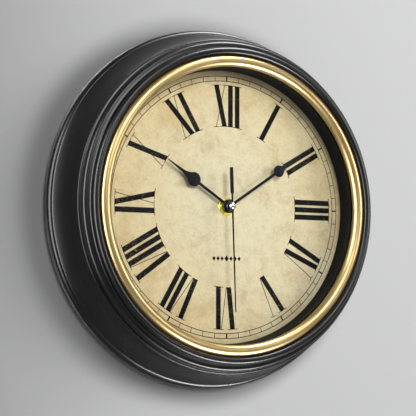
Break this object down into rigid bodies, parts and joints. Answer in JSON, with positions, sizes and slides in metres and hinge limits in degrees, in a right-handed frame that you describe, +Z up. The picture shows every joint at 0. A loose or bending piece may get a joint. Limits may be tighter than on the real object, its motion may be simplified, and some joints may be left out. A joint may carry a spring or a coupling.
{
  "type": "wall clock",
  "caption": "Round battery wall clock with a black stepped case, a gold ring, flat glass, a cream dial with radial numerals, spade hands and a full quartz gear train.",
  "frame": {"origin": "where the axis of the hands meets the wall, in the plane of the case's rear rim", "axes": "+Z up the dial through twelve, +X to the right as seen from the front, +Y into the wall; the dial faces -Y"},
  "size_m": [0.305, 0.05, 0.305],
  "materials": {
    "case_black": "satin black moulding with fine grain",
    "ring_gold": "satin gold metallised moulding",
    "clear_glass": "clear, polished",
    "well_black": "matt black",
    "dial_paper": "matt printed sheet, aged cream with brown mottling",
    "hardboard": "brown hardboard, textured back",
    "screw_steel": "zinc plated",
    "hanger_steel": "rolled, zinc plated",
    "housing_black": "spark textured black",
    "bridge_white": "natural white moulding",
    "washer_rubber": "matt",
    "nut_brass": "dull olive brass",
    "bobbin_white": "natural white moulding",
    "copper_wire": "enamelled copper",
    "stator_iron": "annealed sheet",
    "board_green": "printed circuit laminate",
    "chip_epoxy": "black epoxy drop",
    "crystal_can": "drawn metal can",
    "contact_brass": "plated strip",
    "contact_nickel": "nickel plated strip and wire",
    "cell_jacket": "plain sleeve with metal ends",
    "magnet_ferrite": "sintered",
    "gear_white": "natural white acetal",
    "arbor_steel": "drawn wire",
    "hand_black": "satin blue black paint on stamped aluminium",
    "collet_black": "satin black",
    "dome_steel": "polished",
    "knob_black": "matt black"
  },
  "bodies": {
    "clock": {"case_frame": "case_black", "bezel_ring": "ring_gold", "glass": "clear_glass", "spacer_ring": "well_black", "dial": "dial_paper", "dial_plate": "hardboard", "plate_screws": "screw_steel", "hanger_plate": "hanger_steel", "hanger_screws": "screw_steel", "front_housing": "housing_black", "rear_housing": "housing_black", "train_bridge": "bridge_white", "rubber_washer": "washer_rubber", "brass_washer": "nut_brass", "hex_nut": "nut_brass", "coil_bobbin": "bobbin_white", "coil_winding": "copper_wire", "stator": "stator_iron", "circuit_board": "board_green", "driver_chip": "chip_epoxy", "quartz_crystal": "crystal_can", "positive_contact": "contact_brass", "negative_contact": "contact_nickel"},
    "cell": {"battery": "cell_jacket"},
    "rotor": {"rotor_magnet": "magnet_ferrite", "rotor_pinion": "gear_white"},
    "intermediate": {"intermediate_wheel": "gear_white"},
    "seconds": {"seconds_wheel": "gear_white", "seconds_arbor": "arbor_steel", "second_hand": "hand_black", "second_hand_bush": "dome_steel"},
    "third": {"third_wheel": "gear_white"},
    "minutes": {"centre_wheel": "gear_white", "minute_hand": "hand_black", "minute_collet": "collet_black"},
    "motion": {"motion_wheel": "gear_white"},
    "hours": {"hour_wheel": "gear_white", "hour_hand": "hand_black", "hour_collet": "collet_black"},
    "setting": {"setting_gear": "gear_white", "setting_knob": "knob_black"}
  },
  "joints": [
    {"name": "second_hand_turn", "type": "hinge", "parent": "clock", "child": "seconds", "pos_m": [0, -0.012, 0], "axis": [0, 1, 0], "continuous": true},
    {"name": "minute_hand_turn", "type": "hinge", "parent": "clock", "child": "minutes", "pos_m": [0, -0.012, 0], "axis": [0, 1, 0], "continuous": true},
    {"name": "hour_hand_turn", "type": "hinge", "parent": "clock", "child": "hours", "pos_m": [0, -0.012, 0], "axis": [0, 1, 0], "continuous": true},
    {"name": "rotor_spin", "type": "hinge", "parent": "clock", "child": "rotor", "pos_m": [-0.01731, -0.012, 0.00697], "axis": [0, 1, 0], "continuous": true},
    {"name": "intermediate_spin", "type": "hinge", "parent": "clock", "child": "intermediate", "pos_m": [-0.01206, -0.012, -0.00213], "axis": [0, 1, 0], "continuous": true},
    {"name": "third_spin", "type": "hinge", "parent": "clock", "child": "third", "pos_m": [-0.00207, -0.012, 0.01172], "axis": [0, 1, 0], "continuous": true},
    {"name": "motion_spin", "type": "hinge", "parent": "clock", "child": "motion", "pos_m": [0.00927, -0.012, -0.00248], "axis": [0, 1, 0], "continuous": true},
    {"name": "setting_turn", "type": "hinge", "parent": "clock", "child": "setting", "pos_m": [0.02007, -0.012, -0.00248], "axis": [0, 1, 0], "continuous": true},
    {"name": "battery_slide", "type": "slide", "parent": "clock", "child": "cell", "axis": [0, 1, 0], "range_m": [0, 0.03]}
  ],
  "couplings": [
    {"joint": "rotor_spin", "follows": "second_hand_turn", "ratio": 30},
    {"joint": "intermediate_spin", "follows": "second_hand_turn", "ratio": -6},
    {"joint": "third_spin", "follows": "second_hand_turn", "ratio": -0.13333},
    {"joint": "minute_hand_turn", "follows": "second_hand_turn", "ratio": 0.016667},
    {"joint": "motion_spin", "follows": "second_hand_turn", "ratio": -0.0055556},
    {"joint": "hour_hand_turn", "follows": "second_hand_turn", "ratio": 0.0013889},
    {"joint": "setting_turn", "follows": "second_hand_turn", "ratio": 0.011111}
  ]
}
